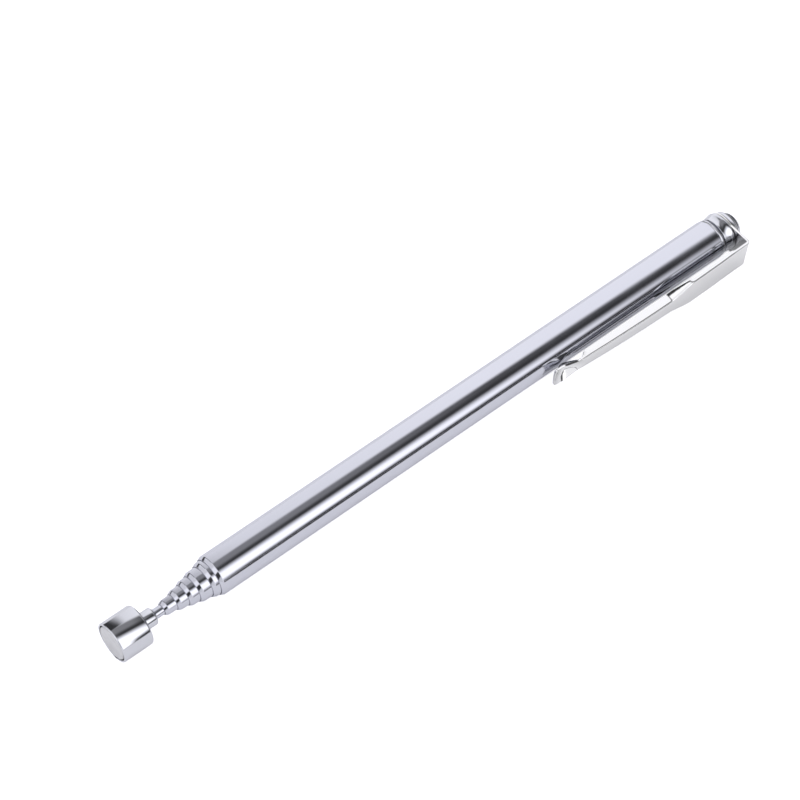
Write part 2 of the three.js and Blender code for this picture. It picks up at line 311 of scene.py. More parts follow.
def plated_tube():
    """Drawn brass tube, polished and chrome plated.

    Drawing leaves very fine lines along the tube, so reflections are smeared a little round it,
    and handling leaves broad faint smears that dull the polish in patches.
    """
    settings = bpy.context.scene.pickup_tubes
    material, tree, output, place = new_material("chrome_plated_drawn_tube")
    # Draw lines are about 0.02 mm apart; 0.12 mm is as fine as shows.
    stretched = add_node(
        tree, "ShaderNodeMapping", Vector=place, Scale=(40, 1 / (0.12 * MM), 1 / (0.12 * MM))
    )
    lines = add_node(
        tree, "ShaderNodeTexNoise", Vector=stretched.outputs[0],
        Scale=1.0, Detail=3.0, Roughness=0.6,
    )
    smears = add_node(tree, "ShaderNodeTexNoise", Vector=place, Scale=160.0, Detail=4.0)
    dull = add_node(
        tree, "ShaderNodeMapRange", i0=smears.outputs[0], i1=0.35, i2=0.75, i3=0.05, i4=0.10
    )
    rough = add_node(
        tree, "ShaderNodeMath", {"operation": "MULTIPLY_ADD"},
        i0=lines.outputs[0], i1=0.04, i2=dull.outputs[0],
    )
    bump = add_node(
        tree, "ShaderNodeBump", Strength=0.25, Distance=0.002 * MM, Height=lines.outputs[0]
    )
    shade_metal(
        tree, output, linear(settings.colour),
        Roughness=rough.outputs[0], Normal=bump.outputs[0],
    )
    return material


def plated_turning():
    """Turned brass or steel, polished and chrome plated.

    The tool leaves rings round the piece, which the plating softens but doesn't fill.
    """
    settings = bpy.context.scene.pickup_ends
    material, tree, output, place = new_material("chrome_plated_turned_metal")
    rings = add_node(
        tree, "ShaderNodeMapping", Vector=place, Scale=(1 / (0.1 * MM), 60, 60)
    )
    marks = add_node(
        tree, "ShaderNodeTexNoise", Vector=rings.outputs[0], Scale=1.0, Detail=2.0
    )
    smears = add_node(tree, "ShaderNodeTexNoise", Vector=place, Scale=420.0, Detail=3.0)
    rough = add_node(
        tree, "ShaderNodeMapRange", i0=smears.outputs[0], i1=0.3, i2=0.75, i3=0.05, i4=0.11
    )
    bump = add_node(
        tree, "ShaderNodeBump", Strength=0.3, Distance=0.002 * MM, Height=marks.outputs[0]
    )
    shade_metal(
        tree, output, linear(settings.turned_colour),
        Roughness=rough.outputs[0], Normal=bump.outputs[0],
    )
    return material


def plated_strip():
    """Pressed spring steel, bright nickel plated.

    Rolling leaves a faint orange-peel ripple in the sheet, seen as slightly uneven reflections.
    """
    settings = bpy.context.scene.pickup_clip
    material, tree, output, place = new_material("nickel_plated_pressed_steel")
    ripple = add_node(tree, "ShaderNodeTexNoise", Vector=place, Scale=700.0, Detail=2.0)
    smears = add_node(tree, "ShaderNodeTexNoise", Vector=place, Scale=260.0, Detail=4.0)
    rough = add_node(
        tree, "ShaderNodeMapRange", i0=smears.outputs[0], i1=0.3, i2=0.75, i3=0.07, i4=0.14
    )
    bump = add_node(
        tree, "ShaderNodeBump", Strength=0.5, Distance=0.01 * MM, Height=ripple.outputs[0]
    )
    shade_metal(
        tree, output, linear(settings.colour),
        Roughness=rough.outputs[0], Normal=bump.outputs[0],
    )
    return material


def plated_magnet():
    """Sintered magnet, tumbled and nickel plated.

    Tumbling rounds the grains that sintering leaves, so the plate is satin and faintly pebbled.
    """
    settings = bpy.context.scene.pickup_ends
    material, tree, output, place = new_material("nickel_plated_sintered_magnet")
    # Grain is about 0.01 mm; 0.09 mm is as fine as shows.
    grain = add_node(
        tree, "ShaderNodeTexVoronoi", Vector=place, Scale=1 / (0.09 * MM), Randomness=1.0
    )
    cloud = add_node(tree, "ShaderNodeTexNoise", Vector=place, Scale=900.0, Detail=4.0)
    tint = add_node(
        tree, "ShaderNodeMix", {"data_type": "RGBA"},
        Factor=cloud.outputs[0], i6=linear(settings.magnet_colour), i7=linear("#C6C6C8"),
    )
    rough = add_node(
        tree, "ShaderNodeMapRange", i0=cloud.outputs[0], i1=0.3, i2=0.75, i3=0.34, i4=0.46
    )
    bump = add_node(
        tree, "ShaderNodeBump", Strength=0.4, Distance=0.004 * MM, Height=grain.outputs[0]
    )
    shade_metal(
        tree, output, tint.outputs[2], Roughness=rough.outputs[0], Normal=bump.outputs[0]
    )
    return material


def spring_brass():
    """Rolled spring brass, bare, burnished by sliding.

    Sliding polishes streaks along it, and the rest keeps a duller, slightly browner skin.
    """
    settings = bpy.context.scene.pickup_ends
    material, tree, output, place = new_material("rolled_spring_brass")
    stretched = add_node(
        tree, "ShaderNodeMapping", Vector=place, Scale=(150, 1 / (0.2 * MM), 1 / (0.2 * MM))
    )
    streaks = add_node(
        tree, "ShaderNodeTexNoise", Vector=stretched.outputs[0], Scale=1.0, Detail=4.0
    )
    tint = add_node(
        tree, "ShaderNodeMix", {"data_type": "RGBA"},
        Factor=streaks.outputs[0], i6=linear(settings.brass_colour), i7=linear("#A37F3C"),
    )
    rough = add_node(
        tree, "ShaderNodeMapRange", i0=streaks.outputs[0], i1=0.3, i2=0.7, i3=0.22, i4=0.42
    )
    shade_metal(tree, output, tint.outputs[2], Roughness=rough.outputs[0])
    return material


materials_made = {}


def finish_with(piece, make_material):
    """Gives a piece its material, made the first time that it is asked for."""
    if make_material not in materials_made:
        materials_made[make_material] = make_material()
    piece.data.materials.clear()
    piece.data.materials.append(materials_made[make_material])


# ---------------------------------------------------------------------------------------------
# Barrel, tubes and rod
# ---------------------------------------------------------------------------------------------


def stage_radius(stage):
    """Outer radius of a stage: 0 is the barrel and 6 the rod, in equal steps."""
    return BARREL_RADIUS * (1 - stage / 8)


def coned_mouth(stage, mouth, tubes):
    """Half section of a mouth: the bore, a thin round lip, a straight cone and its soft corner."""
    outside = stage_radius(stage)
    bore = outside - tubes.wall
    lip = stage_radius(stage + 1) + tubes.fit
    bore_round = 0.04 * MM
    lip_round = 0.05 * MM
    edge = lip + bore_round + lip_round
    land = 0.2 * MM
    ease = 0.1 * MM
    corner = 0.3 * MM
    cone = 90 + math.degrees(math.atan2(outside - edge, tubes.cone_length - lip_round))
    return [
        (mouth + tubes.cone_length, bore),
        (mouth + land + ease, lip + 0.1 * ease),
        (mouth + land, lip),
        (mouth + bore_round, lip),
        *arc(mouth + bore_round, lip + bore_round, bore_round, bore_round, 270, 180, 3),
        *arc(mouth + lip_round, edge, lip_round, lip_round, 180, cone, 3),
        *arc(mouth + tubes.cone_length, outside - corner, corner, corner, cone, 90, 4),
    ]


def liner_seat(stage, tubes):
    """Half section of the recess for the liners and the flared end behind it."""
    outside = stage_radius(stage)
    front, rear = ends(f"liner_{stage}_upper")
    end = ends(STAGE_NODES[stage])[1]
    flare = half_height(STAGE_NODES[stage])
    chamfer = 0.05 * MM
    return [
        (front - SEAT_PLAY, outside),
        (front - SEAT_PLAY, outside - tubes.seat),
        (rear + SEAT_PLAY, outside - tubes.seat),
        (rear + SEAT_PLAY + FLARE_RAMP, flare),
        (end - chamfer, flare),
        (end, flare - chamfer),
    ]


class PICKUP_OT_barrel(bpy.types.Operator):
    """Turns the barrel with its coned mouth"""

    bl_idname = "pickup.barrel"
    bl_label = "Barrel"

    def execute(self, context):
        tubes = context.scene.pickup_tubes
        mouth, rear = ends("barrel")
        chamfer = 0.06 * MM
        profile = coned_mouth(0, mouth, tubes) + [
            (rear - chamfer, BARREL_RADIUS),
            (rear, BARREL_RADIUS - chamfer),
            (rear, BARREL_RADIUS - tubes.wall),
            (mouth + tubes.cone_length, BARREL_RADIUS - tubes.wall),
        ]
        piece = turn("barrel_tube", profile, WIDE_STEPS)
        finish_with(piece, plated_tube)
        settle(piece, "barrel", ["barrel"])
        return {"FINISHED"}


class PICKUP_OT_tubes(bpy.types.Operator):
    """Turns the five tubes that slide in the barrel and in each other"""

    bl_idname = "pickup.tubes"
    bl_label = "Tubes"

    def execute(self, context):
        tubes = context.scene.pickup_tubes
        for stage in range(1, STAGES):
            node = STAGE_NODES[stage]
            mouth, rear = ends(node)
            flare_bore = half_height(node) - tubes.wall
            seat_rear = ends(f"liner_{stage}_upper")[1] + SEAT_PLAY
            bore = stage_radius(stage) - tubes.wall
            profile = coned_mouth(stage, mouth, tubes) + liner_seat(stage, tubes) + [
                (rear, flare_bore),
                (seat_rear + FLARE_RAMP, flare_bore),
                (seat_rear, bore),
                (mouth + tubes.cone_length, bore),
            ]
            piece = turn(f"telescope_tube_{stage}", profile, tubes.segments)
            finish_with(piece, plated_tube)
            settle(piece, node, [node])
        return {"FINISHED"}


class PICKUP_OT_rod(bpy.types.Operator):
    """Turns the solid rod that carries the magnet"""

    bl_idname = "pickup.rod"
    bl_label = "Rod"

    def execute(self, context):
        tubes = context.scene.pickup_tubes
        front, rear = ends("rod")
        radius = stage_radius(STAGES)
        chamfer = 0.1 * MM
        profile = [
            (front, 0),
            (front, radius - chamfer),
            (front + chamfer, radius),
            *liner_seat(STAGES, tubes),
            (rear, 0),
        ]
        piece = turn("magnet_rod", profile, ROD_STEPS)
        finish_with(piece, plated_tube)
        settle(piece, "rod", ["rod"])
        return {"FINISHED"}


class PICKUP_OT_liners(bpy.types.Operator):
    """Rolls the two brass friction liners of each stage"""

    bl_idname = "pickup.liners"
    bl_label = "Friction liners"

    def execute(self, context):
        tubes = context.scene.pickup_tubes
        half_angle, steps, rows = 84, 28, 4
        for stage in range(1, STAGES + 1):
            outer = stage_radius(stage - 1) - tubes.wall - tubes.fit
            inner = stage_radius(stage) - tubes.seat + tubes.fit
            front, rear = ends(f"liner_{stage}_upper")
            for side, middle in (("upper", 90), ("lower", 270)):
                points = [
                    (front, AXIS_Y + y, AXIS_Z + z)
                    for y, z in arc(
                        0, 0, inner, inner, middle - half_angle, middle + half_angle, steps
                    )
                ]
                piece = draw_line(f"brass_liner_{stage}_{side}", points)
                bpy.ops.mesh.select_all(action="SELECT")
                for _ in range(rows):
                    bpy.ops.mesh.extrude_region_move(
                        TRANSFORM_OT_translate={"value": ((rear - front) / rows, 0, 0)}
                    )
                bpy.ops.mesh.select_all(action="SELECT")
                bpy.ops.mesh.normals_make_consistent(inside=False)
                bpy.ops.object.mode_set(mode="OBJECT")
                bpy.ops.object.transform_apply(location=True, rotation=True, scale=True)
                thicken(piece, outer - inner, (AXIS_Y, AXIS_Z))
                soften(piece, 0.03 * MM)
                finish_with(piece, spring_brass)
                settle(piece, f"liners_{stage}", [f"liner_{stage}_{side}"])
        return {"FINISHED"}


def thicken(piece, thickness, axis=(0, 0)):
    """Gives an open sheet its thickness, away from the axis, from the inner face that was drawn."""
    activate(piece)
    middle = piece.data.polygons[len(piece.data.polygons) // 2]
    away = middle.center - Vector((middle.center.x, *axis))
    outwards = middle.normal.dot(away) > 0
    solid = piece.modifiers.new("thickness", "SOLIDIFY")
    solid.thickness = thickness
    solid.offset = 1.0 if outwards else -1.0
    solid.use_even_offset = True
    bpy.ops.object.modifier_apply(modifier=solid.name)


def soften(piece, width, segments=2, angle=50):
    """Breaks the sharp edges of a piece."""
    activate(piece)
    bevel = piece.modifiers.new("broken_edges", "BEVEL")
    bevel.width = width
    bevel.segments = segments
    bevel.limit_method = "ANGLE"
    bevel.angle_limit = math.radians(angle)
    bevel.harden_normals = False
    bpy.ops.object.modifier_apply(modifier=bevel.name)


# ---------------------------------------------------------------------------------------------
# Magnet end
# ---------------------------------------------------------------------------------------------


class PICKUP_OT_magnet(bpy.types.Operator):
    """Makes the drawn cup, the disc magnet in it and the neck riveted to it"""

    bl_idname = "pickup.magnet"
    bl_label = "Magnet, cup and neck"

    def execute(self, context):
        settings = context.scene.pickup_ends
        rim, rear = ends("magnet_cup")
        radius = half_height("magnet_cup")
        wall = 0.4 * MM
        bore = radius - wall
        back = 0.8 * MM
        hole = 1.25 * MM
        inner_edge = 0.08 * MM
        r1, r2 = settings.round_rim, settings.round_rear
        profile = [
            (rim + inner_edge, bore),
            (rim, bore + inner_edge),
            *arc(rim + r1, radius - r1, r1, r1, 180, 90, 6),
            *arc(rear - r2, radius - r2, r2, r2, 90, 0, 8),
            (rear, hole),
            (rear - back, hole),
            (rear - back, bore),
            (rim + inner_edge, bore),
        ]
        cup = turn("magnet_cup_drawn", profile, WIDE_STEPS)
        finish_with(cup, plated_turning)
        settle(cup, "rod", ["magnet_cup"])

        front, end = ends("magnet_disc")
        disc_radius = half_height("magnet_disc")
        chamfer = 0.14 * MM
        profile = [
            (front, 0),
            (front, disc_radius - chamfer),
            *arc(front + chamfer, disc_radius - chamfer, chamfer, chamfer, 180, 90, 4),
            (end - chamfer, disc_radius),
            (end, disc_radius - chamfer),
            (end, 0),
        ]
        disc = turn("disc_magnet", profile, WIDE_STEPS)
        finish_with(disc, plated_magnet)
        settle(disc, "rod", ["magnet_disc"])

        rivet, neck_rear = ends("magnet_neck")
        gap = 0.05 * MM
        socket = stage_radius(STAGES) + gap
        socket_end = ends("rod")[0] - gap
        head, head_rear, head_round = 1.6 * MM, rear - back - gap, 0.15 * MM
        shank = 1.2 * MM
        neck_radius = 1.5 * MM
        chamfer = 0.1 * MM
        rounding = 0.4 * MM
        profile = [
            (rivet, 0),
            (rivet, head),
            *arc(head_rear - head_round, head, head_round, head_round, 90, 0, 3),
            (head_rear, shank),
            (rear + gap, shank),
            (rear + gap, neck_radius - chamfer),
            (rear + gap + chamfer, neck_radius),
            *arc(neck_rear - rounding, neck_radius - rounding, rounding, rounding, 90, 0, 6),
            (neck_rear, socket),
            (socket_end, socket),
            (socket_end, 0),
        ]
        neck = turn("riveted_neck", profile, NECK_STEPS)
        finish_with(neck, plated_turning)
        settle(neck, "rod", ["magnet_neck"])
        return {"FINISHED"}


# ---------------------------------------------------------------------------------------------
# Cap end
# ---------------------------------------------------------------------------------------------


class PICKUP_OT_cap(bpy.types.Operator):
    """Turns the end plug with its bead and collar, and the domed button"""

    bl_idname = "pickup.cap"
    bl_label = "Plug and button"

    def execute(self, context):
        tubes = context.scene.pickup_tubes
        barrel_rear = ends("barrel")[1]
        plug_front, post_rear = ends("end_plug")
        plug_radius = BARREL_RADIUS - tubes.wall - tubes.fit
        plug_chamfer = 0.2 * MM
        bead_front = barrel_rear + 0.05 * MM
        bead_rear = barrel_rear + 0.8 * MM
        bead_radius = 3.42 * MM
        crown = 0.22 * MM
        collar_rear = ends("clip_base")[0] - 0.1 * MM
        collar = half_height("end_plug")
        groove = 2.75 * MM
        post = 1.4 * MM
        post_chamfer = 0.1 * MM
        collar_start = bead_rear + 0.2 * MM
        collar_front = 3.3 * MM
        collar_round = 0.06 * MM
        collar_ease = 0.07 * MM
        rear_round = 0.12 * MM
        flare_power = 1.6
        flare_front, flare_rear = bead_rear + 0.5 * MM, collar_rear - 0.3 * MM
        flare = [
            (flare_front + (flare_rear - flare_front) * t,
             collar_front + (collar - collar_front) * t ** flare_power)
            for t in (0, 0.25, 0.5, 0.75, 1)
        ]
        profile = [
            (plug_front, 0),
            (plug_front, plug_radius - plug_chamfer),
            (plug_front + plug_chamfer, plug_radius),
            (bead_front, plug_radius),
            (bead_front, bead_radius - crown),
            *arc((bead_front + bead_rear) / 2, bead_radius - crown,
                 (bead_rear - bead_front) / 2, crown, 175, 5, 12),
            (bead_rear, groove + 0.1 * MM),
            (bead_rear + 0.06 * MM, groove),
            (collar_start - 0.07 * MM, groove),
            (collar_start - 0.03 * MM, groove + 0.06 * MM),
            (collar_start, collar_front - collar_round),
            *arc(collar_start + collar_ease, collar_front - collar_round,
                 collar_ease, collar_round, 160, 90, 3),
            *flare,
            *arc(collar_rear - rear_round, collar - rear_round, rear_round, rear_round, 90, 0, 5),
            (collar_rear, collar - 0.3 * MM),
            (collar_rear, post),
            (post_rear - post_chamfer, post),
            (post_rear, post - post_chamfer),
            (post_rear, 0),
        ]
        plug = turn("end_plug_turned", profile, WIDE_STEPS)
        finish_with(plug, plated_turning)
        settle(plug, "barrel", ["end_plug"])

        front, rear = ends("end_button")
        radius = half_height("end_button")
        step = front + 0.95 * MM
        shoulder_along, shoulder_up = 0.45 * MM, 0.35 * MM
        dome = 2.6 * MM
        crease = 0.02 * MM
        gap = 0.05 * MM
        bore = post + gap
        profile = [
            (front, bore),
            (front, radius - 0.1 * MM),
            (front + 0.08 * MM, radius),
            *arc(step - shoulder_along, radius - shoulder_up,
                 shoulder_along, shoulder_up, 90, 15, 7),
            (step - crease, dome + 2 * crease),
            (step + 2 * crease, dome - crease),
            *arc(step, 0, rear - step, dome, 80, 0, 14),
            (post_rear + gap, 0),
            (post_rear + gap, bore),
            (front, bore),
        ]
        button = turn("domed_button", profile, WIDE_STEPS)
        finish_with(button, plated_turning)
        settle(button, "barrel", ["end_button"])
        return {"FINISHED"}


# ---------------------------------------------------------------------------------------------
# Pocket clip
# ---------------------------------------------------------------------------------------------


# The arm from its lip to its shoulder, as (millimetres behind the cup's rim, millimetres): the
# height of its edges over the tool's axis, its half width, the depth of its folded sides with the
# sheet, and how far the middle of the tip is pressed towards the barrel.
EDGE_HEIGHT = ((85.4, 5.3), (91.3, 5.8), (99.8, 6.2), (109.8, 6.41), (120.0, 6.3), (127.7, 6.1))
HALF_WIDTH = (
    (85.4, 2.1), (87.0, 2.08), (88.5, 1.72), (90.4, 1.31), (99.8, 1.45), (110.3, 1.6),
    (110.7, 1.68), (114.6, 2.87), (115.0, 2.95), (127.7, 2.95),
)
SIDE_DEPTH = (
    (85.4, 0.47), (90.8, 0.47), (92.2, 1.35), (92.8, 1.46), (99.8, 1.6), (109.8, 1.75),
    (111.4, 1.66), (113.4, 1.2), (115.6, 0.8), (124.2, 0.8), (125.2, 0.47), (127.7, 0.47),
)
TIP_PRESS = ((85.4, 0.12), (86.9, 0.95), (88.1, 1.38), (89.4, 1.0), (90.6, 0.35), (91.6, 0.0))
# Stretches of the arm, from the lip to the shoulder, and how many rows each is drawn with.
STRETCHES = (
    (85.4, 92.8, 22), (92.8, 110.0, 6), (110.0, 110.3, 1), (110.3, 110.7, 2), (110.7, 114.6, 4),
    (114.6, 115.0, 2), (115.0, 115.3, 1), (115.3, 124.0, 3),
    (124.0, 125.4, 5), (125.4, 127.7, 2),
)
FACE_STEPS = 12
FOLD_RADIUS = 0.3 * MM
# An edge of the strip that was cut and not folded keeps this part of the fold's radius.
CUT_EDGE = 0.35
# Depths of the sides at which an edge starts to count as a fold and fully counts, millimetres.
FOLD_STARTS, FOLD_FULL = 0.5, 0.75
LIP_CORNER, FREE_EDGE = 0.6 * MM, 0.07 * MM
BEND_RADIUS = 0.7 * MM
PLATE_LENGTH, PLATE_ROWS = 4.8 * MM, 4
RING_RADIUS, RING_EDGE, HOLE_RADIUS = 3.3 * MM, 0.08 * MM, 1.45 * MM


def follow(table, x):
    """Height at x of the smooth curve through a table's points, which never overshoots them."""
    places = [place for place, _ in table]
    values = [value for _, value in table]
    if x >= places[-1]:
        return values[-1]
    i = max(k for k, place in enumerate(places) if place <= max(x, places[0]))
    chords = [(v1 - v0) / (x1 - x0) for (x0, v0), (x1, v1) in zip(table, table[1:])]

    def slope(k):
        if k in (0, len(chords)):
            return 0 if k else chords[0]
        before, after = chords[k - 1], chords[k]
        return 0 if before * after <= 0 else 2 * before * after / (before + after)

    length = places[i + 1] - places[i]
    t = (x - places[i]) / length
    rise = values[i + 1] - values[i]
    ease = t * t * (3 - 2 * t)
    return (
        values[i] + rise * ease
        + length * slope(i) * t * (1 - t) ** 2
        - length * slope(i + 1) * t * t * (1 - t)
    )


class PICKUP_OT_clip(bpy.types.Operator):
    """Presses the pocket clip from one strip: lip, channel, shoulder and ring"""

    bl_idname = "pickup.clip"
    bl_label = "Pocket clip"

    def execute(self, context):
        settings = context.scene.pickup_clip
        sheet = settings.sheet
        plate_front, plate_rear = ends("clip_base")
        clip = self.strip(settings)
        thicken(clip, sheet)
        self.round_edges(clip)
        self.press_tip(clip)

        middle = (plate_front + plate_rear) / 2
        ring = self.disc(RING_RADIUS, sheet - 0.01 * MM, middle)
        bpy.ops.object.mode_set(mode="EDIT")
        bpy.ops.mesh.select_all(action="SELECT")
        bpy.ops.mesh.edges_select_sharp(sharpness=math.radians(60))
        bpy.ops.mesh.bevel(offset=RING_EDGE, segments=2)
        bpy.ops.object.mode_set(mode="OBJECT")
        self.cut(clip, ring, "UNION")
        hole = self.disc(HOLE_RADIUS, 2 * MM, middle)
        self.cut(clip, hole, "DIFFERENCE")

        activate(clip)
        clip.rotation_euler = (math.pi / 2 + settings.turn, 0, 0)
        clip.location = (0, AXIS_Y, AXIS_Z)
        finish_with(clip, plated_strip)
        settle(clip, None, ["clip_base", "clip_arm"], 30)
        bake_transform(clip)
        return {"FINISHED"}

    def strip(self, settings):
        """The strip's inner face: extruded along the arm, round the bend and down the plate."""
        sheet = settings.sheet
        places = [STRETCHES[0][0]]
        for first, last, steps in STRETCHES:
            places += [first + (last - first) * i / steps for i in range(1, steps + 1)]
        rows = [
            (CUP_RIM + x * MM, follow(EDGE_HEIGHT, x) * MM - sheet,
             follow(HALF_WIDTH, x) * MM - sheet, follow(SIDE_DEPTH, x) * MM - sheet)
            for x in places
        ]
        face = [(1 - 2 * i / FACE_STEPS, 0) for i in range(FACE_STEPS + 1)]
        section = [(1, -1), *face, (-1, -1)]
        x, z, half, depth = rows[0]
        clip = draw_line("pocket_clip", [(x, half * u, z + depth * v) for u, v in section])
        bpy.ops.mesh.select_all(action="SELECT")
        for old, new in zip(rows, rows[1:]):
            step = (new[0] - old[0], 0, new[1] - old[1])
            bpy.ops.mesh.extrude_region_move(TRANSFORM_OT_translate={"value": step})
            bpy.ops.transform.resize(
                value=(1, new[2] / old[2], new[3] / old[3]), center_override=(new[0], 0, new[1])
            )
        x, z = rows[-1][:2]
        bpy.ops.mesh.spin(
            steps=8, angle=math.pi / 2, center=(x, 0, z + sheet - BEND_RADIUS), axis=(0, -1, 0)
        )
        plate_step = (0, 0, -PLATE_LENGTH / PLATE_ROWS)
        for _ in range(PLATE_ROWS):
            bpy.ops.mesh.extrude_region_move(TRANSFORM_OT_translate={"value": plate_step})
        bpy.ops.mesh.select_all(action="SELECT")
        bpy.ops.mesh.normals_make_consistent(inside=False)
        bpy.ops.object.mode_set(mode="OBJECT")
        bpy.ops.object.transform_apply(location=True, rotation=True, scale=True)
        return clip

    def round_edges(self, clip):
        """Rounds the lip's corners, then the strip's outer edges, then its sides' free edges."""

        def is_outer(face):
            return abs(face.normal.y) < 0.3 and max(face.normal.x, face.normal.z) > 0.7

        lip = CUP_RIM + STRETCHES[0][0] * MM

        def is_lip_corner(edge):
            near = all(vertex.co.x < lip + 0.3 * MM for vertex in edge.verts)
            return near and edge.verts[0].co.y * edge.verts[1].co.y > (2.0 * MM) ** 2 and not any(
                is_outer(face) or face.normal.z < -0.7 for face in edge.link_faces
            )

        def is_outer_rim(edge):
            return is_outer(edge.link_faces[0]) != is_outer(edge.link_faces[1])

        def is_free_edge(edge):
            side = math.copysign(1, edge.verts[0].co.y)
            slants = sorted(face.normal.y * side for face in edge.link_faces)
            down = min(face.normal.z for face in edge.link_faces)
            return slants[1] > 0.7 and abs(slants[0]) < 0.5 and down < -0.7

        self.bevel_where(clip, is_lip_corner, LIP_CORNER, 5)
        self.round_rim(clip, is_outer_rim)
        self.bevel_where(clip, is_free_edge, FREE_EDGE, 2)

    def sharp_edges(self, mesh, test):
        """The edges of more than 50 degrees that pass a test."""
        mesh.normal_update()
        sharp = math.radians(50)
        return [
            edge for edge in mesh.edges
            if len(edge.link_faces) == 2 and edge.calc_face_angle() > sharp and test(edge)
        ]

    def bevel_where(self, clip, test, radius, segments):
        """Bevels the sharp edges that pass a test."""
        activate(clip)
        bpy.ops.object.mode_set(mode="EDIT")
        bpy.ops.mesh.select_mode(type="EDGE")
        bpy.ops.mesh.select_all(action="DESELECT")
        mesh = bmesh.from_edit_mesh(clip.data)
        for edge in self.sharp_edges(mesh, test):
            edge.select_set(True)
        bmesh.update_edit_mesh(clip.data)
        bpy.ops.mesh.bevel(offset=radius, segments=segments, clamp_overlap=False)
        bpy.ops.object.mode_set(mode="OBJECT")

    def round_rim(self, clip, test):
        """Rounds the outer edges: widely along the folds, and hardly where the strip was cut."""
        activate(clip)
        bpy.ops.object.mode_set(mode="EDIT")
        mesh = bmesh.from_edit_mesh(clip.data)
        weight = mesh.edges.layers.float.new("bevel_weight_edge")
        for edge in self.sharp_edges(mesh, test):
            middle = (edge.verts[0].co.x + edge.verts[1].co.x) / 2
            depth = follow(SIDE_DEPTH, (middle - CUP_RIM) / MM)
            fold = (depth - FOLD_STARTS) / (FOLD_FULL - FOLD_STARTS)
            edge[weight] = min(1.0, max(CUT_EDGE, fold))
        bmesh.update_edit_mesh(clip.data)
        bpy.ops.object.mode_set(mode="OBJECT")
        bevel = clip.modifiers.new("folds", "BEVEL")
        bevel.width = FOLD_RADIUS
        bevel.segments = 5
        bevel.limit_method = "WEIGHT"
        bevel.use_clamp_overlap = False
        bpy.ops.object.modifier_apply(modifier=bevel.name)

    def press_tip(self, clip):
        """Presses the middle of the tip towards the barrel, into a spoon with a straight rim."""
        bpy.ops.object.mode_set(mode="EDIT")
        mesh = bmesh.from_edit_mesh(clip.data)
        for vertex in mesh.verts:
            x = (vertex.co.x - CUP_RIM) / MM
            if x < TIP_PRESS[-1][0]:
                across = vertex.co.y / (follow(HALF_WIDTH, x) * MM)
                vertex.co.z -= follow(TIP_PRESS, x) * MM * max(0.0, 1 - across * across)
        bmesh.update_edit_mesh(clip.data)
        bpy.ops.object.mode_set(mode="OBJECT")

    def disc(self, radius, depth, middle):
        """A disc square to the tool's axis, drawn about the clip's own origin."""
        deselect()
        bpy.ops.mesh.primitive_cylinder_add(
            vertices=128, radius=radius, depth=depth, location=(middle, 0, 0),
            rotation=(0, math.pi / 2, 0),
        )
        return bpy.context.object

    def cut(self, piece, cutter, operation):
        """Applies a boolean and takes its cutter away."""
        activate(piece)
        boolean = piece.modifiers.new("cut", "BOOLEAN")
        boolean.operation = operation
        boolean.object = cutter
        boolean.solver = "EXACT"
        bpy.ops.object.modifier_apply(modifier=boolean.name)
        bpy.data.objects.remove(cutter)


# ---------------------------------------------------------------------------------------------
# Studio
# ---------------------------------------------------------------------------------------------


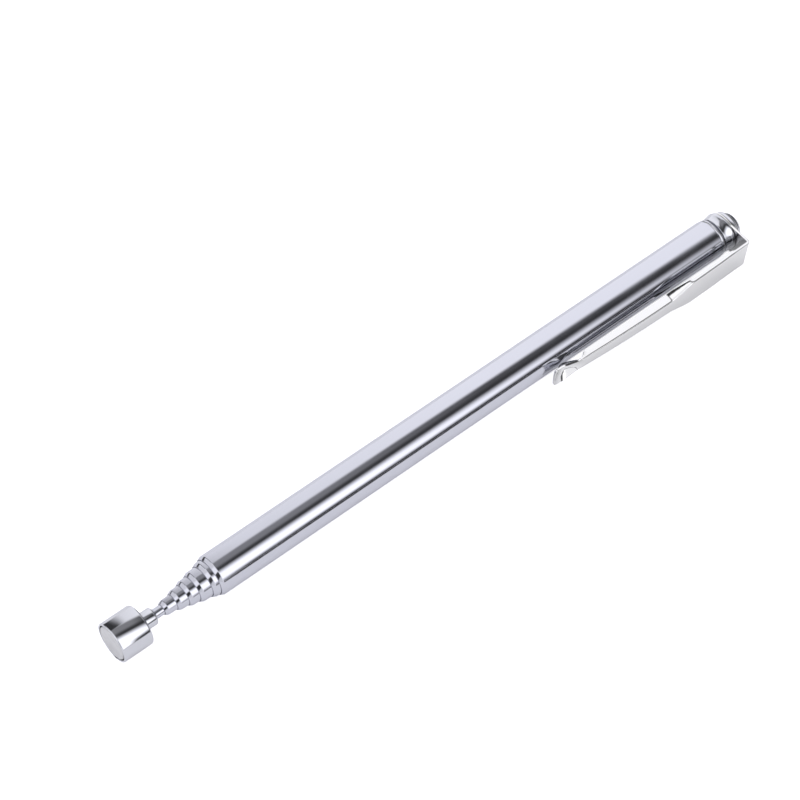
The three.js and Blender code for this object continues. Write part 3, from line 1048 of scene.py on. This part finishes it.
class PICKUP_OT_studio(bpy.types.Operator):
    """Sets the camera, the pale floor, the soft light, and what the plating mirrors"""

    bl_idname = "pickup.studio"
    bl_label = "Studio"

    def execute(self, context):
        settings = context.scene.pickup_studio
        self.camera(context, settings)
        self.floor()
        self.black_card()
        self.surroundings(context)
        self.overhead_light()
        context.scene.view_settings.view_transform = "Standard"
        return {"FINISHED"}

    def camera(self, context, settings):
        """A long lens looking down at the tool from beyond its magnet."""
        middle = Vector(((cad_low.x + cad_high.x) / 2, AXIS_Y, AXIS_Z))
        off_middle = Vector((-2.06, 7.80, -0.65)) * MM
        aim = middle + off_middle
        a, e = settings.azimuth, settings.elevation
        back = Vector((math.sin(a) * math.cos(e), -math.cos(a) * math.cos(e), math.sin(e)))
        deselect()
        bpy.ops.object.camera_add(location=aim + back * settings.distance)
        camera = context.object
        camera.name = "camera"
        camera.data.lens = settings.lens
        camera.data.sensor_width = 36.0
        camera.rotation_euler = (-back).to_track_quat("-Z", "Y").to_euler()
        camera.data.clip_start = 0.01
        camera.data.clip_end = 20.0
        context.scene.camera = camera

    def floor(self):
        """A plain white sheet, lit a little from below so that its shadows stay pale."""
        deselect()
        bpy.ops.mesh.primitive_circle_add(
            vertices=96, radius=3.0, fill_type="NGON", location=(0, 0, 0)
        )
        floor = bpy.context.object
        floor.name = "studio_floor"
        material, tree, output, _ = new_material("white_paper_floor")
        seen = add_node(tree, "ShaderNodeLightPath")
        glow = add_node(
            tree, "ShaderNodeMapRange",
            i0=seen.outputs["Is Camera Ray"], i1=0, i2=1, i3=0.12, i4=0.8,
        )
        shader = add_node(
            tree, "ShaderNodeBsdfPrincipled",
            Base_Color=linear("#F0F0F2"), Roughness=0.9,
            Emission_Color=(1, 1, 1.02, 1), Emission_Strength=glow.outputs[0],
        )
        shader.inputs["Specular IOR Level"].default_value = 0.0
        tree.links.new(shader.outputs[0], output.inputs["Surface"])
        floor.data.materials.append(material)

    def black_card(self):
        """A black card in front, seen only in the plating, which draws the dark line low on it."""
        near, far = 0.035, 0.5
        left, right = -0.035, 0.6
        deselect()
        bpy.ops.mesh.primitive_plane_add(
            size=1, location=((left + right) / 2, AXIS_Y - (near + far) / 2, 0.0002)
        )
        card = bpy.context.object
        card.name = "black_card"
        card.scale = (right - left, far - near, 1)
        bpy.ops.object.transform_apply(location=False, rotation=False, scale=True)
        material, tree, output, _ = new_material("black_card_stock")
        shader = add_node(
            tree, "ShaderNodeBsdfPrincipled", Base_Color=linear("#1E1E20"), Roughness=0.9
        )
        tree.links.new(shader.outputs[0], output.inputs["Surface"])
        card.data.materials.append(material)
        card.visible_camera = False
        card.visible_diffuse = False
        card.visible_shadow = False

    def surroundings(self, context):
        """Pale walls with dark and bright zones for the plating to mirror.

        The zones are placed for this camera's angle, and are not meant for other views. A long dark
        gap is overhead, a soft box in front, dark strips lie low on both sides, and the end wall
        behind the cap is dark.
        """
        world = bpy.data.worlds.new("studio_walls")
        context.scene.world = world
        world.use_nodes = True
        tree = world.node_tree
        tree.nodes.clear()
        output = add_node(tree, "ShaderNodeOutputWorld")
        way = add_node(tree, "ShaderNodeTexCoord").outputs["Generated"]
        axes = add_node(tree, "ShaderNodeSeparateXYZ", Vector=way)

        def ramp(value, low, high, start=0.0, end=1.0, kind="SMOOTHSTEP"):
            """Goes from start to end as the value goes from low to high."""
            return add_node(
                tree, "ShaderNodeMapRange", {"interpolation_type": kind},
                i0=value, i1=low, i2=high, i3=start, i4=end,
            ).outputs[0]

        def facing(*normal):
            """How far a direction is past the plane through the tool that has this normal."""
            return add_node(
                tree, "ShaderNodeVectorMath", {"operation": "DOT_PRODUCT"}, i0=way, i1=normal
            ).outputs["Value"]

        def mix(factor, a, b):
            return add_node(
                tree, "ShaderNodeMix", {"data_type": "FLOAT"}, Factor=factor, i2=a, i3=b
            ).outputs[0]

        def times(a, b):
            return add_node(
                tree, "ShaderNodeMath", {"operation": "MULTIPLY"}, i0=a, i1=b
            ).outputs[0]

        along, across, up = axes.outputs
        before_gap = facing(0.751, 0.660, 0.168)
        wall = ramp(along, 0.28, 0.40, 1.08, 1.25, "LINEAR")
        soft_box = ramp(along, 0.33, 0.50, 1.75, 1.0, "LINEAR")
        gap_edge = ramp(along, 0.30, 0.40, 0.30, 0.10, "LINEAR")
        gap = mix(ramp(before_gap, 0.12, 0.34), 0.05, gap_edge)
        level = mix(ramp(facing(0.894, 0.449, -0.410), -0.05, 0.10), gap, wall)
        level = mix(ramp(before_gap, -0.20, 0.10), soft_box, level)
        side_wall = mix(ramp(across, 0.10, 0.25), wall, 1.35)
        level = mix(ramp(along, 0.02, 0.16), side_wall, level)
        corner_line = times(ramp(across, 0.38, 0.46), ramp(along, -0.20, -0.10))
        corner_line = times(corner_line, ramp(along, 0.28, 0.20))
        level = mix(corner_line, level, 0.05)
        front_wall = mix(ramp(across, -0.02, 0.12), 1.3, 0.95)
        front_wall = mix(ramp(across, -0.47, -0.40), 0.05, front_wall)
        front_wall = mix(ramp(across, -0.80, -0.72), 0.9, front_wall)
        level = mix(ramp(along, -0.35, -0.22), front_wall, level)
        skirting = times(ramp(facing(0, -1, 0), 0.25, 0.45), ramp(up, 0.36, 0.05))
        skirting = times(skirting, ramp(along, 0.20, 0.28))
        level = mix(skirting, level, 0.04)
        far_card = times(ramp(facing(0, 1, 0), 0.5, 0.7), ramp(up, 0.35, 0.15))
        far_card = times(far_card, ramp(along, 0.26, 0.12))
        level = mix(far_card, level, 0.05)
        level = mix(ramp(along, 0.60, 0.72), level, 0.08)
        tinted = add_node(
            tree, "ShaderNodeBackground", Color=(0.985, 0.985, 1.03, 1), Strength=level
        )
        pale = add_node(tree, "ShaderNodeBackground", Color=(1, 1, 1, 1), Strength=1.0)
        seen = add_node(tree, "ShaderNodeLightPath")
        both = add_node(
            tree, "ShaderNodeMixShader",
            i0=seen.outputs["Is Camera Ray"], i1=tinted.outputs[0], i2=pale.outputs[0],
        )
        tree.links.new(both.outputs[0], output.inputs["Surface"])

    def overhead_light(self):
        """A wide soft light over the tool, kept out of the reflections in the plating."""
        deselect()
        bpy.ops.object.light_add(type="AREA", location=(0.05, 0.15, 1.2))
        light = bpy.context.object
        light.name = "overhead_soft_light"
        light.data.shape = "DISK"
        light.data.size = 1.2
        light.data.energy = 3.6
        light.rotation_euler = (math.radians(-7), math.radians(2), 0)
        light.visible_glossy = False
        light.visible_camera = False


# ---------------------------------------------------------------------------------------------
# Add-on
# ---------------------------------------------------------------------------------------------


class PICKUP_PT_panel(bpy.types.Panel):
    """Lists the tool's pieces and its studio in the sidebar"""

    bl_idname = "PICKUP_PT_panel"
    bl_label = "Pickup Tool"
    bl_space_type = "VIEW_3D"
    bl_region_type = "UI"
    bl_category = "Pickup Tool"

    def draw(self, context):
        for operator in OPERATORS:
            self.layout.operator(operator.bl_idname)
        for name in ("pickup_tubes", "pickup_ends", "pickup_clip", "pickup_studio"):
            settings = getattr(context.scene, name)
            for key in settings.bl_rna.properties.keys():
                if key not in ("rna_type", "name"):
                    self.layout.prop(settings, key)


OPERATORS = (
    PICKUP_OT_barrel,
    PICKUP_OT_tubes,
    PICKUP_OT_rod,
    PICKUP_OT_liners,
    PICKUP_OT_magnet,
    PICKUP_OT_cap,
    PICKUP_OT_clip,
    PICKUP_OT_studio,
)
SETTINGS = {
    "pickup_tubes": TubeSettings,
    "pickup_ends": EndSettings,
    "pickup_clip": ClipSettings,
    "pickup_studio": StudioSettings,
}


def register():
    for kind in (*SETTINGS.values(), *OPERATORS, PICKUP_PT_panel):
        bpy.utils.register_class(kind)
    for name, kind in SETTINGS.items():
        setattr(bpy.types.Scene, name, bpy.props.PointerProperty(type=kind))


def unregister():
    for name in SETTINGS:
        delattr(bpy.types.Scene, name)
    for kind in reversed((*SETTINGS.values(), *OPERATORS, PICKUP_PT_panel)):
        bpy.utils.unregister_class(kind)


def main():
    register()
    bpy.ops.pickup.studio()
    bpy.ops.pickup.barrel()
    bpy.ops.pickup.tubes()
    bpy.ops.pickup.rod()
    bpy.ops.pickup.liners()
    bpy.ops.pickup.magnet()
    bpy.ops.pickup.cap()
    bpy.ops.pickup.clip()


if __name__ == "__main__":
    main()
